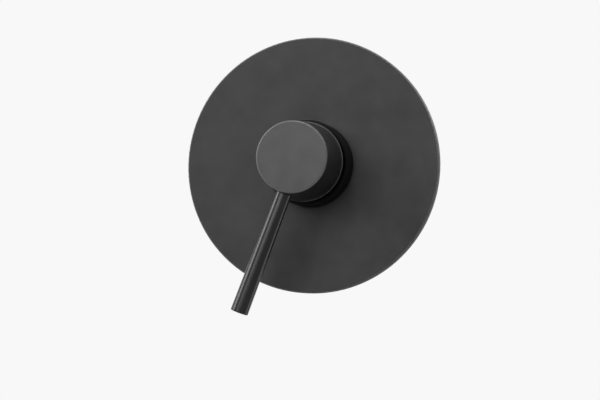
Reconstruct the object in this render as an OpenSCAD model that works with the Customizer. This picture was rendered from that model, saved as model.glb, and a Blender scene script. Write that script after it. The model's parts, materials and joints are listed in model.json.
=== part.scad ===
// Wall-mounted single-lever shower mixer with its concealed valve.
// The origin is the centre of the wall plate on the finished wall.
// X is to the right, Y goes into the wall and Z is up.
// Pieces are drawn with z pointing out of the wall, and valve_frame() turns them into place.

/* [Wall plate] */
// Diameter of the wall plate
plate_d = 150; // [130:1:170]
// How far the plate's front stands off the wall
plate_depth = 6.6; // [6:0.1:8]
// Thickness of the plate's spun sheet
plate_wall = 1.5; // [1.2:0.1:1.6]
// Round on the plate's front edge
plate_round = 1; // [0.6:0.1:1.2]
// Width of the foam ring behind the plate's rim
foam_w = 5.5; // [4:0.5:8]

/* [Cover sleeve] */
// Outside diameter of the sleeve behind the handle
sleeve_d = 49.6; // [49.2:0.2:51]
// Thickness of the sleeve's wall
sleeve_wall = 2.2; // [2:0.1:2.3]
// Height of the sleeve's front above the wall
sleeve_front = 19; // [18.6:0.1:19.2]

/* [Handle] */
// Diameter of the handle at its back, over the rim
hub_back_d = 46; // [44:0.5:48]
// How far the thin rim at the handle's back stands out from its side
rim_lip = 0.4; // [0.2:0.1:0.6]
// Diameter of the handle's flat front
hub_face_d = 40.6; // [38:0.2:44]
// Height of the handle's back above the wall
hub_back = 27; // [27:0.5:29]
// Height of the handle's front above the wall
hub_face = 58; // [56:0.5:62]
// Thickness of the handle's side wall
hub_wall = 2.4; // [2:0.1:3]
// Round on the handle's front edge
hub_round = 1; // [0.5:0.1:1.5]

/* [Lever] */
// Height of the lever's axis above the wall
lever_height = 44; // [42:0.5:46]
// Distance from the handle's axis to the lever's end
lever_reach = 92.4; // [70:0.2:110]
// Diameter of the lever where it enters the handle
lever_root_d = 9; // [8:0.1:10]
// Diameter of the lever at its flat end
lever_tip_d = 10.2; // [9:0.1:12]

/* [Motion] */
// How far the lever is turned to the left of straight down at rest
rest_turn = 21.2; // [0:0.1:45]
// How far the lever turns to each side of straight down
turn_limit = 50; // [40:1:55]
// How far the lever lifts to open the valve fully
lift_limit = 18; // [12:1:18]

/* [Valve body] */
// Depth of the inlet and outlet axes behind the finished wall
port_depth = 32.5; // [32:0.5:40]
// Distance from the centre to the end of each threaded port
port_reach = 46; // [44:0.5:60]
// Radius of the tapped half-inch ports
port_thread_r = 9.3; // [9:0.1:9.4]
// Spacing of the four fixing holes, both ways
fixing_spacing = 60; // [56:1:70]
// Radius of the fixing holes
fixing_hole_r = 2.75; // [2:0.05:3]

/* [Hidden] */
$fn = 96;
past = 1;
fit_gap = 0.05;

// Plate, collar and sleeve
plate_r = plate_d / 2;
sleeve_r = sleeve_d / 2;
sleeve_bore_r = sleeve_r - sleeve_wall;
sleeve_back = -9;
sleeve_round = 0.4;
dome_wall = 1.3;
dome_back = 13.7;
dome_foot = 16.3;
dome_mouth_r = 14;
plate_hole_r = sleeve_r + 0.15;
plate_back = plate_depth - plate_wall;
inner_round = 0.4;
collar_r = sleeve_r + 3.7;
collar_back = 1;
ring_r = 0.75;
groove_w = 1.8;
collar_groove = collar_back + 0.9;

// Heights of the cartridge, counted out of the wall
pot_floor = -19;
base_top = -13;
disc_joint = -9.2;
disc_gap = 0.03;
moving_top = -6.4;
carrier_top = -1.5;
rotor_flange = -1.2;
housing_step = 1.2;
shoulder = 3;
housing_front = 13.4;
rotor_front = 16;
pivot_height = 6;
ball_height = -3.8;
spindle_top = 49;
pot_mouth = 9;

// Radii of the cartridge
cartridge_r = 17.4;
housing_bore_r = 13.5;
neck_r = 14.6;
rotor_r = 11.3;
rotor_flange_r = 13.2;
base_cup_r = 13.4;
fixed_disc_r = 12.6;
fixed_disc_h = 3.4;
gasket_r = 9.8;
gasket_h = 1.2;
key_r = 1.2;

// Ports: the inlets lie below the axis and the outlet above it
inlet_port = [6.4, -4.6];
outlet_port = [0, 6.6];
port_r = 2.9;
seal_in_r = 3.3;
seal_out_r = 4.9;
seal_h = 1.6;
kidney_r = 6;
kidney_w = 2.8;
kidney_turn = [280, 319];
disc_outlet = [0, 5];
disc_outlet_r = 2.8;
peg = [12.5, 5];
peg_r = 1.6;
peg_h = 2;
nib_w = 5.6;
nib_out = 1.8;
nib_back = 1;
nib_h = 1.9;
nib_play = 0.2;
pocket_floor = -15.6;
inlet_pocket = [5.2, -4.9];
inlet_pocket_r = 4.2;
pocket_rib = 0.9;

// Moving disc and its carrier, drawn with the valve closed
moving_r = 10.2;
disc_offset = (pivot_height - ball_height) * sin(lift_limit) / 2;
flat_half = 8.5;
mix_depth = 1.6;
mix_low_r = 4.2;
mix_high = [0, 3.2];
mix_high_r = 5;
dowel = [6.2, disc_offset];
dowel_r = 1.3;
dowel_h = 0.9;

// Spindle and rotor slot
ball_r = 2.5;
ball_fit = 0.1;
ball_mouth = 1.4;
ball_neck_r = 1.9;
square_corner_r = 5.2;
neck_half = 3.8;
square_half = 4;
square_start = 14;
pin_r = 1.5;
slot_half = 4.15;
slot_play = 0.5;
slot_rest = square_half + slot_play - 0.1;
slot_front = square_half / cos(lift_limit) + (rotor_front - pivot_height) * tan(lift_limit) + slot_play;
slot_back = neck_half / cos(lift_limit) + (pivot_height - rotor_flange) * tan(lift_limit) + slot_play;
rotor_groove = 9.6;
rotor_groove_r = 9.9;
tab_r = 14;
tab_half = 12;
stop_gap = 1.5;
stop_ring_r = 16.6;
stop_ring_back = 9.8;
spline_count = 24;
spline_h = 0.5;
spline_half = 2.5;
spline_play = 0.3;

// Nut and pot
nut_thread_r = 19.7;
nut_bore_r = 17;
nut_lip_r = 15.2;
nut_lip_h = 2;
nut_head_r = 21.6;
nut_head = 9.4;
nut_front = 13.6;
pot_r = sleeve_bore_r - 0.3;
pot_base_r = 24.2;
pot_groove = -4.4;

// Valve body behind the pot
block_r = 17.5;
boss_r = 12.2;
boss_hex_h = 12;
hex_flats = 27;
hex_chamfer = 1.2;
thread_depth = 13;
port_lead = 1;
channel_r = 4.4;
channel_drop = 4.5;
outlet_channel_r = 5;
channel_end = 3.2;
body_back = -port_depth - hex_flats / 2;
lug_h = 5;
lug_r = 6.5;
arm_w = 10;
peg_hole_play = 0.1;
pot_round = 1;
block_round = 1.5;

// Handle
side_back_r = hub_back_d / 2 - rim_lip;
side_run = [hub_face_d / 2 - side_back_r, hub_face - hub_back];
side_out = [side_run[1], -side_run[0]] / norm(side_run);
rim_h = 0.7;
rim_round = 0.15;
face_wall = 3.2;
boss_outer_r = 8.6;
boss_back = 33.2;
lever_boss_r = 6.4;
socket_half = square_half + fit_gap;
thread_r = 3;
lever_seat = 19.8;
screw_l = 8;
screw_key = 3;
screw_key_h = 3;
stub_gap = 0.5;
rib_w = 2;
rib_back = 46;

function side_r(height) = side_back_r + side_run[0] * (height - hub_back) / side_run[1];

// Centre of the round that touches the handle's flat front and its sloping side
function front_centre() = let (z = hub_face - hub_round)
    [(side_out * [side_back_r, hub_back] - hub_round - side_out[1] * z) / side_out[0], z];

// Turns a piece drawn out of the wall into the part's own frame
module valve_frame() {
    rotate([90, 0, 0]) children();
}

// The same for the pieces that turn with the lever
module handle_frame() {
    valve_frame() rotate([0, 0, -rest_turn]) children();
}

module rod(r, from, to) {
    translate([0, 0, from]) cylinder(r = r, h = to - from);
}

module tube(r_out, r_in, from, to) {
    difference() {
        rod(r_out, from, to);
        rod(r_in, from - past, to + past);
    }
}

module o_ring(r_in, section_r, height) {
    rotate_extrude() translate([r_in + section_r, height]) circle(r = section_r);
}

module at_both_sides() {
    children();
    mirror([1, 0, 0]) children();
}

// What comes off a square outside corner at the origin to leave it round
module corner_off(r) {
    difference() {
        translate([-r, -r]) square(2 * r);
        translate([-r, -r]) circle(r = r);
    }
}

// A slice of the plane between two angles less than half a turn apart
module wedge(from, to, reach) {
    polygon([[0, 0], reach * [cos(from), sin(from)], reach * [cos(to), sin(to)]]);
}

// A curved port between two radii and two angles
module kidney() {
    intersection() {
        difference() {
            circle(r = kidney_r + kidney_w / 2);
            circle(r = kidney_r - kidney_w / 2);
        }
        wedge(kidney_turn[0], kidney_turn[1], 2 * kidney_r);
    }
}

module disc_ports() {
    at_both_sides() kidney();
    translate(disc_outlet) circle(r = disc_outlet_r);
}

// The three round ports between the cartridge and the valve body
module at_ports() {
    at_both_sides() translate(inlet_port) children();
    translate(outlet_port) children();
}

module at_pegs() {
    at_both_sides() translate(peg) children();
}

// The hole for the pivot pin, right across a piece
module pivot_hole(r) {
    translate([-cartridge_r, 0, pivot_height]) rotate([0, 90, 0]) cylinder(r = r, h = 2 * cartridge_r);
}

// Splines between the housing's neck and the stop ring, on which the ring is set in steps
module splines(r_out, half) {
    intersection() {
        difference() {
            circle(r = r_out);
            circle(r = neck_r - spline_h);
        }
        for (turn = [0 : 360 / spline_count : 359]) {
            wedge(turn - half, turn + half, 2 * r_out);
        }
    }
}

module face_plate() color("#2b2b2c") valve_frame() rotate_extrude($fn = 160) difference() {
    translate([plate_hole_r, 0]) square([plate_r - plate_hole_r, plate_depth]);
    difference() {
        translate([plate_hole_r - past, -past])
            square([plate_r - plate_wall - plate_hole_r + past, plate_back + past]);
        translate([plate_r - plate_wall, plate_back]) corner_off(inner_round);
    }
    translate([plate_r, plate_depth]) corner_off(plate_round);
}

module plate_collar() color("goldenrod") valve_frame() difference() {
    tube(collar_r, sleeve_r + 0.3, collar_back, plate_back);
    rod(sleeve_r + 2 * ring_r, collar_groove, collar_groove + groove_w);
}

module collar_o_ring() color("#101010") valve_frame()
    o_ring(sleeve_r, ring_r, collar_groove + groove_w / 2);

module wall_seal() color("#3c3c3e") valve_frame()
    tube(plate_r - plate_wall - 0.2, plate_r - plate_wall - foam_w, 0, plate_back);

module cover_sleeve() color("#1a1a1b") valve_frame() rotate_extrude() difference() {
    translate([sleeve_bore_r, sleeve_back]) square([sleeve_wall, sleeve_front - sleeve_back]);
    translate([sleeve_r, sleeve_front]) corner_off(sleeve_round);
}

// Cap over the cartridge: a zone of a sphere round the spindle's pivot, on a ring inside the sleeve
module dome_cap() color("#161616") valve_frame() rotate_extrude() {
    ring_out = sleeve_bore_r - fit_gap;
    dome_r = norm([ring_out, dome_foot - pivot_height]);
    translate([ring_out - dome_wall - 0.2, dome_back])
        square([dome_wall + 0.2, dome_foot - dome_back]);
    intersection() {
        translate([0, pivot_height]) difference() {
            circle(r = dome_r);
            circle(r = dome_r - dome_wall);
        }
        translate([dome_mouth_r, dome_foot - 0.5]) square([ring_out - dome_mouth_r, dome_r]);
    }
}

module sleeve_o_ring() color("#101010") valve_frame()
    o_ring(sleeve_bore_r - 2 * ring_r, ring_r, pot_groove + groove_w / 2);

// A prism with its front corners turned off by a cone
module chamfered_hexagon(corner_r, h, chamfer) {
    intersection() {
        cylinder(r = corner_r, h = h, $fn = 6);
        cylinder(r1 = corner_r - chamfer + h, r2 = corner_r - chamfer, h = h);
    }
}

// The casting's round middle: a flanged pot, a cone and the block behind it
module pot_outline() {
    shoulder_top = sleeve_back - 0.2;
    difference() {
        polygon([[0, body_back], [block_r, body_back], [block_r, pot_floor - 9],
            [pot_base_r, pot_floor - 2], [pot_base_r, shoulder_top], [0, shoulder_top]]);
        translate([pot_base_r, shoulder_top]) corner_off(pot_round);
        translate([block_r, body_back]) mirror([0, 1]) corner_off(block_round);
    }
}

// A turned boss with its hexagon, along z from the valve's centre
module port_boss() {
    rod(boss_r, 0, port_reach - boss_hex_h + past);
    translate([0, 0, port_reach - boss_hex_h]) rotate([0, 0, 30])
        chamfered_hexagon(hex_flats / sqrt(3), boss_hex_h, hex_chamfer);
}

module port_bore(inner_r) {
    rod(port_thread_r, port_reach - thread_depth, port_reach + past);
    translate([0, 0, port_reach - port_lead])
        cylinder(r1 = port_thread_r, r2 = port_thread_r + port_lead + past, h = port_lead + past);
    rod(inner_r, port_reach - thread_depth - 2, port_reach - thread_depth + past);
}

module fixing_arms() {
    linear_extrude(lug_h) difference() {
        union() {
            for (turn = [45, 135]) {
                rotate(turn) square([fixing_spacing * sqrt(2), arm_w], center = true);
            }
            for (x = [-1, 1], y = [-1, 1]) {
                translate([x, y] * fixing_spacing / 2) circle(r = lug_r);
            }
        }
        for (x = [-1, 1], y = [-1, 1]) {
            translate([x, y] * fixing_spacing / 2) circle(r = fixing_hole_r);
        }
    }
}

module mixer_body() color("#b08d57") valve_frame() difference() {
    union() {
        rod(pot_r, sleeve_back - 1, pot_mouth);
        rotate_extrude() pot_outline();
        translate([0, 0, -port_depth]) {
            at_both_sides() rotate([0, 90, 0]) port_boss();
            rotate([-90, 0, 0]) rotate([0, 0, 90]) port_boss();
        }
        translate([0, 0, body_back]) fixing_arms();
    }
    rod(cartridge_r + 0.1, pot_floor, pot_mouth + past);
    rod(nut_thread_r + fit_gap, shoulder - 0.4, pot_mouth + past);
    difference() {
        rod(pot_r + past, pot_groove, pot_groove + groove_w);
        rod(sleeve_bore_r - 2 * ring_r, pot_groove - past, pot_groove + groove_w + past);
    }
    at_pegs() rod(peg_r + peg_hole_play, pot_floor - peg_h - 0.3, pot_floor + past);
    at_ports() rod(port_r, -port_depth, pot_floor + past);
    translate([0, 0, -port_depth]) {
        at_both_sides() {
            rotate([0, 90, 0]) port_bore(channel_r);
            translate([channel_end, -channel_drop, 0]) rotate([0, 90, 0])
                rod(channel_r, 0, port_reach - thread_depth - channel_end);
        }
        rotate([-90, 0, 0]) {
            port_bore(outlet_channel_r);
            rod(outlet_channel_r, channel_end, port_reach - thread_depth);
        }
    }
}

module cartridge_nut() color("#c9a24b") valve_frame() difference() {
    union() {
        rod(nut_thread_r, shoulder, nut_head + past);
        translate([0, 0, nut_head]) chamfered_hexagon(nut_head_r, nut_front - nut_head, 1);
    }
    rod(nut_lip_r, shoulder - past, nut_front + past);
    rod(nut_bore_r, shoulder + nut_lip_h, nut_front + past);
}

module cartridge_housing() color("#e8e6df") valve_frame() difference() {
    union() {
        rod(cartridge_r, base_top, shoulder);
        rod(neck_r, base_top, housing_front);
        translate([0, 0, stop_ring_back]) linear_extrude(housing_front - stop_ring_back)
            splines(neck_r + spline_h, spline_half);
    }
    rod(housing_bore_r, base_top - past, housing_step);
    rod(rotor_r + fit_gap, base_top, housing_front + past);
    at_both_sides()
        translate([housing_bore_r - past, -nib_w / 2 - nib_play, base_top + nib_back - nib_play])
            cube([cartridge_r - housing_bore_r + 2 * past, nib_w + 2 * nib_play, nib_h + 2 * nib_play]);
}

module cartridge_base() color("#d8d5cc") valve_frame() difference() {
    union() {
        rod(cartridge_r, pot_floor, base_top);
        difference() {
            rod(base_cup_r, base_top - past, disc_joint - 0.8);
            rod(fixed_disc_r + 0.1, disc_joint - fixed_disc_h, disc_joint);
        }
        at_both_sides() {
            translate([fixed_disc_r - 0.1, 0, 0]) rod(key_r - 0.1, base_top - past, disc_joint - 0.8);
            translate([base_cup_r - past, -nib_w / 2, base_top + nib_back])
                cube([past + nib_out, nib_w, nib_h]);
        }
        at_pegs() rod(peg_r, pot_floor - peg_h, pot_floor + past);
    }
    rod(gasket_r, disc_joint - fixed_disc_h - gasket_h, disc_joint);
    at_both_sides() translate([0, 0, pocket_floor]) linear_extrude(base_top - pocket_floor)
        intersection() {
            translate(inlet_pocket) circle(r = inlet_pocket_r);
            translate([pocket_rib, -gasket_r]) square(gasket_r);
        }
    translate(disc_outlet) rod(disc_outlet_r + 0.2, pocket_floor, base_top);
    at_ports() {
        rod(port_r, pot_floor - past, base_top - past);
        rod(seal_out_r, pot_floor - past, pot_floor + seal_h);
    }
}

module base_seals() color("#181818") valve_frame() at_ports()
    tube(seal_out_r, seal_in_r, pot_floor, pot_floor + seal_h);

module disc_gasket() color("#202020") valve_frame()
    translate([0, 0, disc_joint - fixed_disc_h - gasket_h]) linear_extrude(gasket_h) difference() {
        circle(r = gasket_r);
        disc_ports();
    }

module fixed_disc() color("white") valve_frame()
    translate([0, 0, disc_joint - fixed_disc_h]) linear_extrude(fixed_disc_h) difference() {
        circle(r = fixed_disc_r);
        disc_ports();
        at_both_sides() translate([fixed_disc_r, 0]) circle(r = key_r);
    }

module temperature_stop_ring() color("#c23b30") valve_frame() {
    stop_back = housing_front + 0.2;
    difference() {
        tube(stop_ring_r, neck_r + fit_gap, stop_ring_back, rotor_front);
        translate([0, 0, stop_ring_back - past]) linear_extrude(stop_back - stop_ring_back + past)
            splines(neck_r + spline_h + fit_gap, spline_half + spline_play);
    }
    translate([0, 0, stop_back]) linear_extrude(rotor_front - stop_back) difference() {
        circle(r = neck_r + 1);
        circle(r = rotor_r + 0.5);
        stop_window();
    }
}

// The angle left open for the rotor's tab, with the tab's own half width at each end
module stop_window() {
    open_half = turn_limit + tab_half + stop_gap;
    wedge(90 - open_half, 90, 4 * neck_r);
    wedge(90, 90 + open_half, 4 * neck_r);
}

module cartridge_rotor() color("#e3b23c") handle_frame() difference() {
    union() {
        rod(rotor_r, rotor_flange, rotor_front);
        rod(rotor_flange_r, rotor_flange, housing_step - fit_gap);
        translate([0, 0, moving_top + 0.2]) linear_extrude(rotor_flange - moving_top) intersection() {
            circle(r = rotor_flange_r);
            at_both_sides() translate([flat_half + 0.15, -8]) square([5, 16]);
        }
        translate([0, 0, housing_front + 0.3]) linear_extrude(rotor_front - housing_front - 0.3)
            intersection() {
                circle(r = tab_r);
                wedge(90 - tab_half, 90 + tab_half, 2 * tab_r);
            }
    }
    translate([-slot_half, -slot_rest, 4]) cube([2 * slot_half, slot_rest + slot_front, rotor_front]);
    translate([-slot_half, -slot_back, rotor_flange - past])
        cube([2 * slot_half, slot_back + slot_rest, 8 - rotor_flange + past]);
    pivot_hole(pin_r);
    difference() {
        rod(rotor_r + past, rotor_groove, rotor_groove + groove_w);
        rod(rotor_groove_r, rotor_groove - past, rotor_groove + groove_w + past);
    }
}

module rotor_o_ring() color("#101010") handle_frame()
    o_ring(rotor_groove_r, (rotor_r - rotor_groove_r) / 2, rotor_groove + groove_w / 2);

module pivot_pin() color("silver") handle_frame()
    translate([0.3 - rotor_r, 0, pivot_height]) rotate([0, 90, 0])
        cylinder(r = pin_r - 0.01, h = 2 * (rotor_r - 0.3));

module spindle() color("#c8a860") handle_frame() difference() {
    union() {
        translate([0, 0, ball_height]) sphere(r = ball_r);
        rod(ball_neck_r, ball_height, past);
        translate([-square_half, -neck_half, 0])
            cube([2 * square_half, 2 * neck_half, square_start + past]);
        intersection() {
            translate([-square_half, -square_half, square_start])
                cube([2 * square_half, 2 * square_half, spindle_top - square_start]);
            rotate_extrude() polygon([[0, square_start], [square_corner_r, square_start],
                [square_corner_r, spindle_top + square_half - square_corner_r],
                [square_half, spindle_top], [0, spindle_top]]);
        }
    }
    pivot_hole(pin_r + fit_gap);
}

// Section of the handle's outside: flat front, sloping side, thin rim and round edges
module hub_outline() {
    front = front_centre();
    polygon([[0, hub_back], [side_back_r, hub_back], front + hub_round * side_out,
        [front[0], hub_face], [0, hub_face]]);
    translate(front) circle(r = hub_round);
    difference() {
        translate([0, hub_back]) square([hub_back_d / 2, rim_h]);
        translate([hub_back_d / 2, hub_back + rim_h]) corner_off(rim_round);
        translate([hub_back_d / 2, hub_back]) mirror([0, 1]) corner_off(rim_round);
    }
}

module hub_hollow() {
    polygon([[0, hub_back - past], [side_r(hub_back - past) - hub_wall, hub_back - past],
        [side_r(hub_face - face_wall) - hub_wall, hub_face - face_wall], [0, hub_face - face_wall]]);
}

module handle_hub() color("#2a2a2b") handle_frame() difference() {
    union() {
        difference() {
            rotate_extrude() hub_outline();
            rotate_extrude() hub_hollow();
        }
        rod(boss_outer_r, boss_back, hub_face - face_wall / 2);
        intersection() {
            union() {
                translate([0, 0, lever_height]) rotate([90, 0, 0])
                    cylinder(r = lever_boss_r, h = hub_back_d / 2);
                for (turn = [0, 90, 180]) {
                    rotate([0, 0, turn]) translate([0, -rib_w / 2, rib_back])
                        cube([hub_back_d / 2, rib_w, hub_face - rib_back - face_wall / 2]);
                }
            }
            rotate_extrude() difference() {
                hub_outline();
                translate([side_r(lever_height) - hub_wall / 2, 0]) square([hub_back_d, 2 * hub_face]);
            }
        }
    }
    translate([-socket_half, -socket_half, boss_back - past])
        cube([2 * socket_half, 2 * socket_half, spindle_top + 0.5 - boss_back + past]);
    translate([0, 0, lever_height]) rotate([90, 0, 0]) {
        cylinder(r = thread_r, h = hub_back_d);
        translate([0, 0, lever_seat]) cylinder(r = lever_root_d / 2 + 0.1, h = hub_back_d);
    }
}

module grub_screw() color("silver") handle_frame()
    translate([0, -square_half, lever_height]) rotate([90, 0, 0]) difference() {
        cylinder(r = thread_r - fit_gap, h = screw_l);
        translate([0, 0, screw_l - screw_key_h])
            cylinder(r = screw_key / sqrt(3), h = screw_key_h + past, $fn = 6);
    }

module lever_pin() color("#2a2a2b") handle_frame()
    translate([0, -lever_seat, lever_height]) rotate([90, 0, 0]) rotate_extrude() {
        length = lever_reach - lever_seat;
        end_round = 0.4;
        union() {
            translate([0, -lever_seat + square_half + screw_l + stub_gap])
                square([thread_r - fit_gap, lever_seat - square_half - screw_l]);
            polygon([[0, 0], [lever_root_d / 2, 0], [lever_tip_d / 2, length - end_round],
                [lever_tip_d / 2 - end_round, length], [0, length]]);
            translate([lever_tip_d / 2 - end_round, length - end_round]) circle(r = end_round);
        }
    }

module disc_carrier() color("#c9c4b6") handle_frame() difference() {
    union() {
        translate([0, 0, moving_top]) linear_extrude(carrier_top - moving_top) intersection() {
            translate([0, disc_offset]) circle(r = moving_r - 0.2);
            square([2 * flat_half, 4 * moving_r], center = true);
        }
        at_both_sides() translate(dowel) rod(dowel_r, moving_top - dowel_h, moving_top + past);
    }
    rod(ball_r + ball_fit, moving_top - past, carrier_top + past);
    translate([0, 0, carrier_top + fit_gap - ball_mouth])
        cylinder(r1 = ball_r + ball_fit, r2 = ball_r + ball_fit + ball_mouth, h = ball_mouth);
}

module moving_disc() color("ivory") handle_frame() difference() {
    translate([0, 0, disc_joint + disc_gap]) linear_extrude(moving_top - disc_joint - disc_gap)
        translate([0, disc_offset]) circle(r = moving_r);
    rod(mix_low_r, disc_joint, disc_joint + mix_depth);
    translate(mix_high) rod(mix_high_r, disc_joint, disc_joint + mix_depth);
    at_both_sides() translate(dowel)
        rod(dowel_r + fit_gap, moving_top - dowel_h - 0.1, moving_top + past);
}

face_plate();
plate_collar();
collar_o_ring();
wall_seal();
cover_sleeve();
dome_cap();
sleeve_o_ring();
mixer_body();
cartridge_nut();
cartridge_housing();
cartridge_base();
base_seals();
disc_gasket();
fixed_disc();
temperature_stop_ring();
cartridge_rotor();
rotor_o_ring();
pivot_pin();
spindle();
handle_hub();
grub_screw();
lever_pin();
disc_carrier();
moving_disc();
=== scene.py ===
import json
import math

import bpy
import bmesh
import mathutils
from mathutils import Matrix, Vector


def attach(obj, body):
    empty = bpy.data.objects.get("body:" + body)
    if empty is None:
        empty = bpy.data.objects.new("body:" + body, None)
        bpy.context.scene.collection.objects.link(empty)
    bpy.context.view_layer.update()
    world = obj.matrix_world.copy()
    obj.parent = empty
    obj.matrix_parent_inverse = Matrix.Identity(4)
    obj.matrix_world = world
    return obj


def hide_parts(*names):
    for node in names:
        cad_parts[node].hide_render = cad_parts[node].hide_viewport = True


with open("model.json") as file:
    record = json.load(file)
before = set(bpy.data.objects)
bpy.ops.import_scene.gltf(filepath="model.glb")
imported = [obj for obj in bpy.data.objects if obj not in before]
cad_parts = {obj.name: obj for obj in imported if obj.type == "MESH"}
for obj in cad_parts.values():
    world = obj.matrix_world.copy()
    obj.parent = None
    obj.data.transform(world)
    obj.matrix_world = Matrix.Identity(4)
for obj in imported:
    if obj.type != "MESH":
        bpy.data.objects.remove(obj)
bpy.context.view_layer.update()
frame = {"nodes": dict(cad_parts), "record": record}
print("frame loaded,", len(frame["nodes"]), "nodes")

mm = 0.001
scene = bpy.context.scene


# Camera, floor, background and lamps

cameraSet = {
    "place": (0.220, -0.999, -0.091),  # to the right of the plate's axis and below it
    "yaw": -12.87,
    "pitch": 3.96,
    "lens": 104.88,  # mm on a 36 mm sensor
}

stageSet = {
    "floorHeight": -1.0,
    "floorReach": 6.0,
    "paleGrey": (0.938, 0.938, 0.938, 1),
    "floorGrey": (0.60, 0.60, 0.60, 1),
    "floorGlow": 0.85,  # share of the floor's look that comes from the plain pale colour
    "ambient": 0.02,
}

lampSet = {
    # name: where it hangs, its width and height, and its power in W; each looks at the plate's middle
    "frontSoftbox": {"at": (-0.30, -1.42, 0.30), "size": (0.9, 0.6), "power": 10},
    "nearSoftbox": {"at": (0.20, -1.43, 0.10), "size": (0.6, 0.6), "power": 1.2},
    "leftSoftbox": {"at": (-1.18, -0.35, 0.50), "size": (0.6, 0.6), "power": 10.4},
    "topStrip": {"at": (0.15, -0.10, 0.90), "size": (0.8, 0.12), "power": 6},
    "upperLeftStrip": {"at": (-0.70, -0.60, 0.75), "size": (0.5, 0.1), "power": 2.5},
    "lowRightStrip": {"at": (0.98, 0.36, -0.40), "size": (0.3, 0.5), "power": 1.2},
    "rimPanel": {"at": (0.60, 0.60, 0.55), "size": (0.7, 0.7), "power": 6},
}


def addCamera(c):
    yaw = math.radians(c["yaw"])
    pitch = math.radians(c["pitch"])
    ahead = Vector((math.sin(yaw) * math.cos(pitch), math.cos(yaw) * math.cos(pitch), math.sin(pitch)))
    data = bpy.data.cameras.new("camera")
    data.lens = c["lens"]
    data.sensor_width = 36
    data.clip_start = 0.05
    data.clip_end = 50
    camera = bpy.data.objects.new("camera", data)
    camera.location = c["place"]
    camera.rotation_mode = "QUATERNION"
    camera.rotation_quaternion = ahead.to_track_quat("-Z", "Y")
    scene.collection.objects.link(camera)
    scene.camera = camera


def seenRays(tree):
    # 1 for the rays that see the background itself: camera, glossy and transmission rays
    path = tree.nodes.new("ShaderNodeLightPath")
    total = path.outputs["Is Camera Ray"]
    for name in ("Is Glossy Ray", "Is Transmission Ray"):
        add = tree.nodes.new("ShaderNodeMath")
        add.operation = "MAXIMUM"
        tree.links.new(total, add.inputs[0])
        tree.links.new(path.outputs[name], add.inputs[1])
        total = add.outputs[0]
    return total


def addStage(s):
    world = bpy.data.worlds.new("paleRoom")
    world.use_nodes = True
    tree = world.node_tree
    tree.nodes.clear()
    out = tree.nodes.new("ShaderNodeOutputWorld")
    seen = tree.nodes.new("ShaderNodeBackground")
    seen.inputs["Color"].default_value = s["paleGrey"]
    seen.inputs["Strength"].default_value = 1
    unseen = tree.nodes.new("ShaderNodeBackground")
    unseen.inputs["Color"].default_value = (1, 1, 1, 1)
    unseen.inputs["Strength"].default_value = s["ambient"]
    mix = tree.nodes.new("ShaderNodeMixShader")
    tree.links.new(seenRays(tree), mix.inputs[0])
    tree.links.new(unseen.outputs[0], mix.inputs[1])
    tree.links.new(seen.outputs[0], mix.inputs[2])
    tree.links.new(mix.outputs[0], out.inputs["Surface"])
    scene.world = world

    paint = bpy.data.materials.new("paleFloor")
    paint.use_nodes = True
    tree = paint.node_tree
    tree.nodes.clear()
    out = tree.nodes.new("ShaderNodeOutputMaterial")
    matt = tree.nodes.new("ShaderNodeBsdfDiffuse")
    matt.inputs["Color"].default_value = s["floorGrey"]
    glow = tree.nodes.new("ShaderNodeEmission")
    glow.inputs["Color"].default_value = s["paleGrey"]
    share = tree.nodes.new("ShaderNodeMath")
    share.operation = "MULTIPLY"
    share.inputs[1].default_value = s["floorGlow"]
    tree.links.new(seenRays(tree), share.inputs[0])
    mix = tree.nodes.new("ShaderNodeMixShader")
    tree.links.new(share.outputs[0], mix.inputs[0])
    tree.links.new(matt.outputs[0], mix.inputs[1])
    tree.links.new(glow.outputs[0], mix.inputs[2])
    tree.links.new(mix.outputs[0], out.inputs["Surface"])

    bm = bmesh.new()
    bmesh.ops.create_grid(bm, x_segments=2, y_segments=2, size=s["floorReach"])
    bmesh.ops.translate(bm, verts=bm.verts, vec=(0, 0, s["floorHeight"]))
    mesh = bpy.data.meshes.new("floor")
    bm.to_mesh(mesh)
    bm.free()
    floor = bpy.data.objects.new("floor", mesh)
    mesh.materials.append(paint)
    scene.collection.objects.link(floor)


def addLamps(lamps):
    for name, l in lamps.items():
        data = bpy.data.lights.new(name, "AREA")
        data.shape = "RECTANGLE"
        data.size, data.size_y = l["size"]
        data.energy = l["power"]
        lamp = bpy.data.objects.new(name, data)
        lamp.location = l["at"]
        lamp.rotation_mode = "QUATERNION"
        lamp.rotation_quaternion = (-Vector(l["at"])).to_track_quat("-Z", "Y")
        scene.collection.objects.link(lamp)


scene.view_settings.view_transform = "Standard"
addCamera(cameraSet)
addStage(stageSet)
addLamps(lampSet)
print("camera, floor and lamps ready")


# Materials

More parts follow.
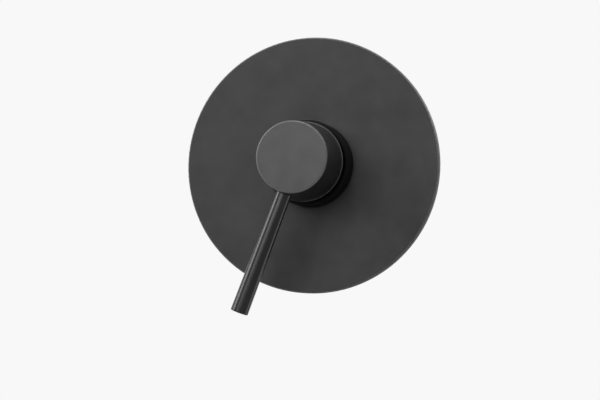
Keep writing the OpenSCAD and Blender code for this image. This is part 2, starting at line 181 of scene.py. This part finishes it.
class Finish:
    # A new material with its main shader, and short ways to add the nodes that shape its look
    def __init__(self, name, colour, roughness, metallic=0.0, shine=0.5):
        self.material = bpy.data.materials.new(name)
        self.material.use_nodes = True
        self.tree = self.material.node_tree
        self.shader = self.tree.nodes["Principled BSDF"]
        self.shader.inputs["Base Color"].default_value = (*colour, 1)
        self.shader.inputs["Roughness"].default_value = roughness
        self.shader.inputs["Metallic"].default_value = metallic
        self.shader.inputs["Specular IOR Level"].default_value = shine
        self.place = self.tree.nodes.new("ShaderNodeTexCoord").outputs["Object"]
        self.height = None

    def node(self, kind, **settings):
        n = self.tree.nodes.new("ShaderNode" + kind)
        for key, value in settings.items():
            setattr(n, key, value)
        return n

    def link(self, source, target):
        self.tree.links.new(source, target)

    def maths(self, operation, a, b=None):
        n = self.node("Math", operation=operation)
        for socket, value in zip(n.inputs, (a, b)):
            if isinstance(value, (int, float)):
                socket.default_value = value
            elif value:
                self.link(value, socket)
        return n.outputs[0]

    def stretched(self, sizes, turn=(0, 0, 0)):
        # The place counted in blotches of these sizes, in metres, along axes turned by these degrees
        m = self.node("Mapping", vector_type="TEXTURE")
        m.inputs["Scale"].default_value = sizes
        m.inputs["Rotation"].default_value = [math.radians(t) for t in turn]
        self.link(self.place, m.inputs["Vector"])
        return m.outputs[0]

    def noise(self, size=1.0, detail=3.0, rough=0.55, place=None):
        # size is how wide a blotch is, in metres, or 1 where the place is already stretched
        n = self.node("TexNoise")
        n.inputs["Scale"].default_value = 1 / size
        n.inputs["Detail"].default_value = detail
        n.inputs["Roughness"].default_value = rough
        self.link(place or self.place, n.inputs["Vector"])
        return n.outputs["Fac"]

    def cells(self, size):
        # Distance from the middles of cells of this size
        v = self.node("TexVoronoi")
        v.inputs["Scale"].default_value = 1 / size
        self.link(self.place, v.inputs["Vector"])
        return v.outputs["Distance"]

    def fromAxis(self, centre=(0, 0, 0), axis="y"):
        shift = self.node("VectorMath", operation="SUBTRACT")
        shift.inputs[1].default_value = centre
        self.link(self.place, shift.inputs[0])
        flat = self.node("VectorMath", operation="MULTIPLY")
        flat.inputs[1].default_value = [0 if a == axis else 1 for a in "xyz"]
        self.link(shift.outputs[0], flat.inputs[0])
        far = self.node("VectorMath", operation="LENGTH")
        self.link(flat.outputs[0], far.inputs[0])
        return far.outputs["Value"]

    def rings(self, size, centre=(0, 0, 0), axis="y"):
        # Turning marks: noise that changes only with the distance from an axis
        n = self.node("TexNoise", noise_dimensions="1D")
        n.inputs["Scale"].default_value = 1 / size
        n.inputs["Detail"].default_value = 2
        self.link(self.fromAxis(centre, axis), n.inputs["W"])
        return n.outputs["Fac"]

    def outerEdge(self, radius, front):
        # 1 beyond this radius from the part's axis and farther than this from the wall, else 0
        place = self.node("SeparateXYZ")
        self.link(self.place, place.inputs[0])
        ahead = self.spread(place.outputs["Y"], 1, 0, -front - 0.2 * mm, -front)
        return self.maths("MULTIPLY", self.spread(self.fromAxis(), 0, 1, radius, radius + 0.2 * mm), ahead)

    def spread(self, value, low, high, start=0.3, end=0.7):
        r = self.node("MapRange")
        r.inputs["From Min"].default_value = start
        r.inputs["From Max"].default_value = end
        r.inputs["To Min"].default_value = low
        r.inputs["To Max"].default_value = high
        self.link(value, r.inputs["Value"])
        return r.outputs[0]

    def colour(self, value, low, high, start=0.3, end=0.7):
        ramp = self.node("ValToRGB")
        ramp.color_ramp.elements[0].position = start
        ramp.color_ramp.elements[0].color = (*low, 1)
        ramp.color_ramp.elements[1].position = end
        ramp.color_ramp.elements[1].color = (*high, 1)
        self.link(value, ramp.inputs[0])
        self.link(ramp.outputs[0], self.shader.inputs["Base Color"])

    def paintHighlight(self, mask, colour):
        # Painted highlight: another, lighter base colour where the mask is 1
        mix = self.node("Mix", data_type="RGBA")
        self.link(mask, mix.inputs[0])
        self.link(self.shader.inputs["Base Color"].links[0].from_socket, mix.inputs[6])
        mix.inputs[7].default_value = (*colour, 1)
        self.link(mix.outputs[2], self.shader.inputs["Base Color"])

    def roughness(self, value, low, high):
        self.link(self.spread(value, low, high), self.shader.inputs["Roughness"])

    def bump(self, value, depth):
        b = self.node("Bump")
        b.inputs["Distance"].default_value = depth
        self.link(value, b.inputs["Height"])
        if self.height:
            self.link(self.height, b.inputs["Normal"])
        self.height = b.outputs[0]
        self.link(self.height, self.shader.inputs["Normal"])


def scaled(colour, factor):
    return tuple(c * factor for c in colour)


# Satin black finish of the pieces outside the wall
blackSet = {
    # edges: radius from the axis and distance from the wall beyond which the colour is lightened as a painted
    # highlight
    "plate": {"colour": (0.026, 0.026, 0.0263), "roughness": 0.50, "shine": 0.20, "edges": ((74.1 * mm, 5.8 * mm),)},
    # The sleeve: the plate's satin black painted much darker, as painted shade of the gap behind the handle
    "sleeve": {"colour": (0.005, 0.005, 0.0051), "roughness": 0.60, "shine": 0.06},
    "handle": {"colour": (0.010, 0.010, 0.0101), "roughness": 0.31, "shine": 0.26,
               "edges": ((19.4 * mm, 57.1 * mm), (22.75 * mm, 26.5 * mm))},
    "lever": {"colour": (0.010, 0.010, 0.0101), "roughness": 0.24, "shine": 0.26},
    "edgeHighlight": (0.12, 0.12, 0.121),  # painted highlight: a lighter colour along the rounded edges, standing in for the light they catch
    "cloudSize": 22 * mm,
    "grainSize": 0.3 * mm,
    "grainDepth": 0.003 * mm,
    "leverTurn": 21.2,  # degrees that the lever hangs to the left of straight down
}


def satinBlack(name, look, brushed=False):
    f = Finish(name, look["colour"], look["roughness"], shine=look["shine"])
    f.colour(f.noise(blackSet["cloudSize"], 2), scaled(look["colour"], 0.75), scaled(look["colour"], 1.25))
    f.roughness(f.noise(8 * mm, 5), look["roughness"] - 0.03, look["roughness"] + 0.03)
    f.bump(f.noise(blackSet["grainSize"], 2, 0.5), blackSet["grainDepth"])
    # Painted highlight: the rounded edges listed under edges get a lighter base colour
    for radius, front in look.get("edges", ()):
        f.paintHighlight(f.outerEdge(radius, front), blackSet["edgeHighlight"])
    if brushed:
        lines = f.stretched((0.12 * mm, 0.12 * mm, 9 * mm), (0, blackSet["leverTurn"], 0))
        f.bump(f.noise(place=lines, detail=2), 0.002 * mm)
    return f.material


# Brass: shot-blasted as cast, or turned bright
brassSet = {
    "cast": (0.50, 0.35, 0.15),
    "tarnish": (0.33, 0.21, 0.08),
    "turned": (0.72, 0.53, 0.26),
    "blastSize": 0.45 * mm,
    "blastDepth": 0.05 * mm,
    "toolMark": 0.16 * mm,
}


def castBrass(name):
    f = Finish(name, brassSet["cast"], 0.45, 1)
    f.colour(f.noise(9 * mm, 6, 0.65), brassSet["tarnish"], brassSet["cast"], 0.32, 0.6)
    f.roughness(f.noise(3 * mm, 5), 0.38, 0.58)
    f.bump(f.noise(2.4 * mm, 3), 0.06 * mm)
    f.bump(f.noise(brassSet["blastSize"], 3, 0.6), brassSet["blastDepth"])
    return f.material


def turnedBrass(name, centre=(0, 0, 0), axis="y"):
    f = Finish(name, brassSet["turned"], 0.24, 1)
    f.colour(f.noise(7 * mm, 4), scaled(brassSet["turned"], 0.88), brassSet["turned"])
    f.roughness(f.rings(brassSet["toolMark"], centre, axis), 0.16, 0.32)
    f.bump(f.rings(brassSet["toolMark"], centre, axis), 0.004 * mm)
    return f.material


def moulded(name, colour, roughness=0.38):
    # Engineering plastic: a slight orange peel, flow clouds and fine spark-eroded grain
    f = Finish(name, colour, roughness, shine=0.45)
    f.colour(f.noise(6 * mm, 4), scaled(colour, 0.93), scaled(colour, 1.04))
    f.roughness(f.noise(2 * mm, 5), roughness - 0.06, roughness + 0.08)
    f.bump(f.noise(1.6 * mm, 2), 0.012 * mm)
    f.bump(f.noise(0.12 * mm, 2), 0.004 * mm)
    return f.material


def rubber(name, colour):
    f = Finish(name, colour, 0.55, shine=0.35)
    f.colour(f.noise(2 * mm, 4), scaled(colour, 0.8), scaled(colour, 1.5))  # a trace of bloom
    f.roughness(f.noise(1.2 * mm, 4), 0.45, 0.68)
    f.bump(f.noise(0.25 * mm, 3), 0.008 * mm)
    return f.material


def closedCellFoam(name):
    f = Finish(name, (0.035, 0.035, 0.036), 0.9, shine=0.2)
    cells = f.cells(0.55 * mm)
    f.colour(cells, (0.055, 0.055, 0.057), (0.014, 0.014, 0.015), 0.1, 0.75)
    f.roughness(f.noise(2 * mm), 0.82, 0.97)
    f.bump(f.noise(1.8 * mm, 3), 0.1 * mm)
    f.bump(cells, 0.12 * mm)
    return f.material


def lappedCeramic(name):
    f = Finish(name, (0.80, 0.79, 0.75), 0.15, shine=0.6)
    f.colour(f.noise(3 * mm, 5), (0.76, 0.75, 0.71), (0.83, 0.82, 0.78))
    f.roughness(f.noise(0.8 * mm, 5), 0.08, 0.2)
    f.bump(f.noise(0.08 * mm, 2), 0.001 * mm)
    f.shader.inputs["Subsurface Weight"].default_value = 0.1
    f.shader.inputs["Subsurface Scale"].default_value = 0.5 * mm
    return f.material


def groundSteel(name):
    f = Finish(name, (0.60, 0.60, 0.59), 0.24, 1)
    f.colour(f.noise(4 * mm, 4), (0.54, 0.54, 0.53), (0.64, 0.64, 0.63))
    f.roughness(f.noise(place=f.stretched((3 * mm, 0.1 * mm, 0.1 * mm)), detail=3), 0.16, 0.34)
    f.bump(f.noise(place=f.stretched((3 * mm, 0.08 * mm, 0.08 * mm)), detail=2), 0.002 * mm)
    return f.material


# Black plastic cap: its own black darkened further, as painted shade of the gap behind the handle
def mattCapPaintedShade(name):
    f = Finish(name, (0.004, 0.004, 0.0041), 0.6, shine=0.08)
    f.colour(f.noise(3 * mm, 3), (0.003, 0.003, 0.003), (0.006, 0.006, 0.0061))
    f.roughness(f.noise(1.5 * mm, 4), 0.5, 0.7)
    f.bump(f.noise(0.2 * mm, 3), 0.01 * mm)
    return f.material


finishes = {
    "black_plate": satinBlack("satinPlate", blackSet["plate"]),
    "black_handle": satinBlack("satinHandle", blackSet["handle"]),
    "black_sleeve": satinBlack("satinSleevePaintedShade", blackSet["sleeve"]),
    "black_plastic": mattCapPaintedShade("mattCapPaintedShade"),
    "brass_cast": castBrass("castBrass"),
    "brass_turned": turnedBrass("turnedBrass"),
    "white_plastic": moulded("whiteMoulding", (0.76, 0.74, 0.68)),
    "yellow_plastic": moulded("yellowMoulding", (0.72, 0.43, 0.07)),
    "red_plastic": moulded("redMoulding", (0.48, 0.035, 0.025)),
    "seal_rubber": rubber("sealRubber", (0.014, 0.014, 0.014)),
    "foam": closedCellFoam("closedCellFoam"),
    "disc_ceramic": lappedCeramic("lappedCeramic"),
    "stainless": groundSteel("groundSteel"),
}
leverFinish = satinBlack("brushedLever", blackSet["lever"], brushed=True)

for part in frame["record"]["subparts"]:
    node = frame["nodes"][part["node"]]
    for slot in node.material_slots:
        slot.material = leverFinish if part["node"] == "lever_pin" else finishes[part["material_slot"]]
print("finishes set")


# Shapes in millimetres, drawn with z out of the wall as a fitter sees it, and turned into the frame at the end

def spunSolid(bm, outline, steps=72):
    # A turned solid: the outline is (radius, height) from the axis and back to it
    ends = [bm.verts.new((r, 0, z)) for r, z in outline]
    sides = [bm.edges.new(pair) for pair in zip(ends, ends[1:])]
    known = set(bm.verts) - set(ends)
    bmesh.ops.spin(bm, geom=ends + sides, cent=(0, 0, 0), axis=(0, 0, 1), dvec=(0, 0, 0),
                   angle=math.tau, steps=steps, use_merge=True, use_duplicate=False)
    made = [v for v in bm.verts if v not in known]
    bmesh.ops.remove_doubles(bm, verts=made, dist=0.001)
    return [v for v in bm.verts if v not in known]


def rod(bm, radius, low, high, steps=72):
    return spunSolid(bm, [(0, low), (radius, low), (radius, high), (0, high)], steps)


def moved(bm, verts, *matrices):
    for m in matrices:
        bmesh.ops.transform(bm, matrix=m, verts=verts)


def block(bm, low, high):
    made = bmesh.ops.create_cube(bm, size=1)["verts"]
    low, high = Vector(low), Vector(high)
    bmesh.ops.scale(bm, verts=made, vec=high - low)
    bmesh.ops.translate(bm, verts=made, vec=(low + high) / 2)
    return made


def meshFrom(bm, name):
    bmesh.ops.recalc_face_normals(bm, faces=bm.faces)
    mesh = bpy.data.meshes.new(name)
    bm.to_mesh(mesh)
    bm.free()
    return mesh


def holder(mesh, name):
    piece = bpy.data.objects.new(name, mesh)
    scene.collection.objects.link(piece)
    return piece


def applyModifiers(piece):
    bpy.context.view_layer.update()
    done = bpy.data.meshes.new_from_object(piece.evaluated_get(bpy.context.evaluated_depsgraph_get()))
    piece.modifiers.clear()
    old = piece.data
    piece.data = done
    bpy.data.meshes.remove(old)


def carve(piece, bm, finish, operation="DIFFERENCE"):
    # Cuts a tool out of the piece, or joins it on; what the tool leaves gets this finish's number
    for face in bm.faces:
        face.material_index = finish
    mesh = meshFrom(bm, "tool")
    for material in piece.data.materials:
        mesh.materials.append(material)
    tool = holder(mesh, "tool")
    cut = piece.modifiers.new("cut", "BOOLEAN")
    cut.operation = operation
    cut.solver = "MANIFOLD"
    cut.object = tool
    applyModifiers(piece)
    bpy.data.objects.remove(tool)


def intoFrame(piece, smoothAngle=35):
    # Millimetres to metres, z out of the wall to -Y
    piece.data.transform(Matrix.Rotation(math.radians(90), 4, "X") @ Matrix.Scale(mm, 4))
    for face in piece.data.polygons:
        face.use_smooth = True
    piece.data.set_sharp_from_angle(angle=math.radians(smoothAngle))


# Valve body: a brass casting with turned and tapped places

bodySet = {
    "portDepth": 32.5,  # of the ports' axes behind the finished wall
    "portReach": 46,
    "bossRadius": 12.2,
    "hexFlats": 27,
    "hexLength": 12,
    "back": -46,
    "blockRadius": 17.5,
    "baseRadius": 24.2,
    "baseFloor": -21,
    "neck": {"radius": 22.3, "low": -9.2, "high": 9, "groove": (21.1, -4.4, -2.6)},
    "pot": {"radius": 17.5, "floor": -19, "threadRadius": 19.75, "threadFloor": 2.6, "threadRoot": 20.2},
    "lugs": {"spacing": 60, "radius": 6.5, "thick": 5, "hole": 2.75, "armWidth": 10, "padRadius": 5.4},
    "inlets": [(-6.4, -4.6), (6.4, -4.6)],
    "outlet": (0, 6.6),
    "drill": 2.9,
    "pegs": [(-12.5, 5), (12.5, 5)],
    "pegHole": (1.7, -21.3),
    "channel": {"inlet": 4.4, "outlet": 5, "drop": -4.5, "from": 3.2},
    "thread": {"pitch": 1.814, "minor": 9.3, "major": 10.2, "depth": 13, "lead": 0.9},
    "grain": 0.65,  # size of the remeshed casting's faces
    "softening": 7,
    "growth": 0.6,  # stock that the milling takes off
}


def towards(side):
    # Turns what is drawn along z, from the axis, to the hot, cold or outlet port
    down = Matrix.Translation((0, 0, -bodySet["portDepth"]))
    turn = {"hot": Matrix.Rotation(math.radians(-90), 4, "Y"), "cold": Matrix.Rotation(math.radians(90), 4, "Y"),
            "outlet": Matrix.Rotation(math.radians(-90), 4, "X")}[side]
    return down @ turn


def castingBlank():
    b = bodySet
    bm = bmesh.new()
    spunSolid(bm, [(0, b["back"] - b["growth"]), (b["blockRadius"], b["back"] - b["growth"]),
                   (b["blockRadius"], b["baseFloor"] - 7), (b["baseRadius"], b["baseFloor"]),
                   (b["baseRadius"], b["neck"]["low"]), (0, b["neck"]["low"])])
    hexStart = b["portReach"] - b["hexLength"]
    for side in ("hot", "cold", "outlet"):
        boss = rod(bm, b["bossRadius"], 0, hexStart + 2)
        collar = spunSolid(bm, [(0, hexStart - 2.2), (b["bossRadius"], hexStart - 2.2), (b["bossRadius"] + 1.3, hexStart + 1),
                                (0, hexStart + 1)])
        hexagon = bmesh.ops.create_cone(bm, cap_ends=True, segments=6, radius1=b["hexFlats"] / math.sqrt(3),
                                        radius2=b["hexFlats"] / math.sqrt(3), depth=b["hexLength"] + b["growth"])["verts"]
        turn = 30 if side == "outlet" else 0  # flats to the front and back
        moved(bm, hexagon, Matrix.Rotation(math.radians(turn), 4, "Z"),
              Matrix.Translation((0, 0, hexStart + (b["hexLength"] + b["growth"]) / 2)))
        moved(bm, boss + collar + hexagon, towards(side))
    lugs = b["lugs"]
    reach = lugs["spacing"] / math.sqrt(2)
    for turn in (45, 135, 225, 315):
        arm = block(bm, (0, -lugs["armWidth"] / 2, b["back"] - b["growth"]), (reach, lugs["armWidth"] / 2, b["back"] + lugs["thick"]))
        end = rod(bm, lugs["radius"], b["back"] - b["growth"], b["back"] + lugs["thick"])
        moved(bm, end, Matrix.Translation((reach, 0, 0)))
        moved(bm, arm + end, Matrix.Rotation(math.radians(turn), 4, "Z"))
    return meshFrom(bm, "castBody")


def millFlat(piece, point, outward, finish):
    # Takes off what stands beyond a plane and closes the cut with a bright face
    bm = bmesh.new()
    bm.from_mesh(piece.data)
    cut = bmesh.ops.bisect_plane(bm, geom=bm.verts[:] + bm.edges[:] + bm.faces[:], dist=0.0001, plane_co=point,
                                 plane_no=outward, clear_outer=True)["geom_cut"]
    rim = [e for e in cut if isinstance(e, bmesh.types.BMEdge)]
    before = set(bm.faces)
    bmesh.ops.holes_fill(bm, edges=rim, sides=0)
    for face in bm.faces:
        if face not in before:
            face.material_index = finish
    bmesh.ops.triangulate(bm, faces=[f for f in bm.faces if f not in before])
    bm.to_mesh(piece.data)
    bm.free()


def tap(thread, reach):
    # The hole that a tap leaves: a tooth outline swept once round with the rise of one pitch, trimmed and closed
    bm = bmesh.new()
    floor = reach - thread["depth"]
    pitch = thread["pitch"]
    teeth = math.ceil(thread["depth"] / pitch) + 2
    points = []
    for k in range(teeth):
        z = floor + (k - 1.5) * pitch
        points += [(thread["minor"], 0, z), (thread["minor"], 0, z + pitch * 0.12),
                   (thread["major"], 0, z + pitch * 0.44), (thread["major"], 0, z + pitch * 0.56),
                   (thread["minor"], 0, z + pitch * 0.88)]
    ends = [bm.verts.new(p) for p in points]
    sides = [bm.edges.new(pair) for pair in zip(ends, ends[1:])]
    steps = 64
    bmesh.ops.spin(bm, geom=ends + sides, cent=(0, 0, 0), axis=(0, 0, 1), dvec=(0, 0, pitch / steps),
                   angle=math.tau, steps=steps, use_merge=False, use_duplicate=False)
    bmesh.ops.remove_doubles(bm, verts=bm.verts, dist=0.001)
    for height, outward in ((floor, -1), (reach + 1, 1)):
        cut = bmesh.ops.bisect_plane(bm, geom=bm.verts[:] + bm.edges[:] + bm.faces[:], dist=0.0001,
                                     plane_co=(0, 0, height), plane_no=(0, 0, outward), clear_outer=True)["geom_cut"]
        bmesh.ops.holes_fill(bm, edges=[e for e in cut if isinstance(e, bmesh.types.BMEdge)], sides=0)
    return bm


def castBody():
    b = bodySet
    piece = holder(castingBlank(), "castBody")
    skin = piece.modifiers.new("skin", "REMESH")
    skin.mode = "VOXEL"
    skin.voxel_size = b["grain"]
    soft = piece.modifiers.new("soft", "SMOOTH")
    soft.factor = 0.5
    soft.iterations = b["softening"]
    applyModifiers(piece)
    piece.data.materials.clear()
    for finish in (finishes["brass_cast"], finishes["brass_turned"],
                   turnedBrass("turnedAcross", (0, b["portDepth"] * mm, 0), "x"),
                   turnedBrass("turnedUpright", (0, b["portDepth"] * mm, 0), "z")):
        piece.data.materials.append(finish)
    millFlat(piece, (-b["portReach"], 0, 0), (-1, 0, 0), 2)
    millFlat(piece, (b["portReach"], 0, 0), (1, 0, 0), 2)
    millFlat(piece, (0, b["portReach"], 0), (0, 1, 0), 3)
    millFlat(piece, (0, 0, b["back"]), (0, 0, -1), 1)

    neck = b["neck"]
    inner, grooveLow, grooveHigh = neck["groove"]
    bm = bmesh.new()
    spunSolid(bm, [(0, neck["low"] - 1), (neck["radius"], neck["low"] - 1), (neck["radius"], grooveLow), (inner, grooveLow),
                   (inner, grooveHigh), (neck["radius"], grooveHigh), (neck["radius"], neck["high"] - 0.5),
                   (neck["radius"] - 0.5, neck["high"]), (0, neck["high"])], 128)
    carve(piece, bm, 1, "UNION")

    pot = b["pot"]
    bm = bmesh.new()
    outline = [(0, pot["floor"]), (pot["radius"], pot["floor"]), (pot["radius"], pot["threadFloor"])]
    z = pot["threadFloor"]
    while z < neck["high"] - 0.8:
        outline += [(pot["threadRadius"], z), (pot["threadRoot"], z + 0.5), (pot["threadRadius"], z + 1)]
        z += 1
    outline += [(pot["threadRoot"], z + 0.4), (pot["threadRoot"] + 0.6, neck["high"] + 0.5), (0, neck["high"] + 0.5)]
    spunSolid(bm, outline, 128)
    carve(piece, bm, 1)

    holes = [((x, y), b["drill"], -b["portDepth"], 48) for x, y in b["inlets"] + [b["outlet"]]]
    holes += [(at, b["pegHole"][0], b["pegHole"][1], 32) for at in b["pegs"]]
    for (x, y), radius, low, steps in holes:
        bm = bmesh.new()
        moved(bm, rod(bm, radius, low, pot["floor"] + 1, steps), Matrix.Translation((x, y, 0)))
        carve(piece, bm, 1)

    half = b["lugs"]["spacing"] / 2
    for x in (-half, half):
        for y in (-half, half):
            bm = bmesh.new()
            top = b["back"] + b["lugs"]["thick"]
            face = spunSolid(bm, [(0, b["back"] - 1), (b["lugs"]["hole"], b["back"] - 1), (b["lugs"]["hole"], top - 0.35),
                                  (b["lugs"]["padRadius"], top - 0.35), (b["lugs"]["padRadius"], top + 2), (0, top + 2)], 48)
            moved(bm, face, Matrix.Translation((x, y, 0)))
            carve(piece, bm, 1)

    channel, thread = b["channel"], b["thread"]
    end = b["portReach"]
    for side, sunk, radius, finish in (("hot", channel["drop"], channel["inlet"], 2), ("cold", channel["drop"], channel["inlet"], 2),
                                       ("outlet", 0, channel["outlet"], 3)):
        bm = bmesh.new()
        moved(bm, rod(bm, radius, channel["from"], end - thread["depth"] + 0.5, 48), towards(side), Matrix.Translation((0, sunk, 0)))
        carve(piece, bm, finish)
        bm = tap(thread, end)
        moved(bm, bm.verts, towards(side))
        carve(piece, bm, finish)
        bm = bmesh.new()
        lead = spunSolid(bm, [(0, end - thread["lead"] - 1.2), (thread["minor"] - 0.3, end - thread["lead"] - 1.2),
                              (thread["major"] + 0.5, end + 0.1), (thread["major"] + 0.5, end + 1), (0, end + 1)], 96)
        moved(bm, lead, towards(side))
        carve(piece, bm, finish)
        if side != "outlet":
            bm = bmesh.new()
            moved(bm, rod(bm, radius, end - thread["depth"] - 2, end - thread["depth"] + 0.5, 48), towards(side))
            carve(piece, bm, finish)

    intoFrame(piece)
    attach(piece, "valve")
    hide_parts("mixer_body")
    print("valve body cast and machined,", len(piece.data.polygons), "faces")


castBody()


# Foam seal: a strip cut to length and laid in the plate's rim

foamSet = {
    "inner": 68.0,
    "outer": 73.3,
    "high": 5.1,
    "round": 0.6,
    "joint": 0.5,  # gap between the strip's ends, at the bottom
    "wave": 0.12,
    "waveSize": 7.0,
}


def foamSeal():
    f = foamSet
    bm = bmesh.new()
    corners = [(f["inner"], 0), (f["outer"], 0), (f["outer"], f["high"]), (f["inner"], f["high"])]
    ring = [bm.verts.new((r, 0, z)) for r, z in corners]
    face = bm.faces.new(ring)
    bmesh.ops.bevel(bm, geom=ring, offset=f["round"], affect="VERTICES", segments=4, profile=0.5, material=-1)
    bmesh.ops.subdivide_edges(bm, edges=[e for e in bm.edges if e.calc_length() > 1.5], cuts=7)
    section = bm.faces[:]
    gap = f["joint"] / f["outer"]
    bmesh.ops.rotate(bm, verts=bm.verts, cent=(0, 0, 0), matrix=Matrix.Rotation(-math.pi / 2 + gap / 2, 3, "Z"))
    bmesh.ops.spin(bm, geom=section + section[0].edges[:] + section[0].verts[:], cent=(0, 0, 0), axis=(0, 0, 1),
                   dvec=(0, 0, 0), angle=math.tau - gap, steps=300, use_merge=False, use_duplicate=False)
    bmesh.ops.recalc_face_normals(bm, faces=bm.faces)
    for v in bm.verts:
        push = mathutils.noise.noise(v.co / f["waveSize"]) * f["wave"] - f["wave"] / 2
        v.co += v.normal * push
        v.co.z = max(0, min(f["high"], v.co.z))
    piece = holder(meshFrom(bm, "foamSeal"), "foamSeal")
    piece.data.materials.append(finishes["foam"])
    intoFrame(piece, 50)
    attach(piece, "valve")
    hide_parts("wall_seal")
    print("foam seal laid,", len(piece.data.polygons), "faces")


foamSeal()
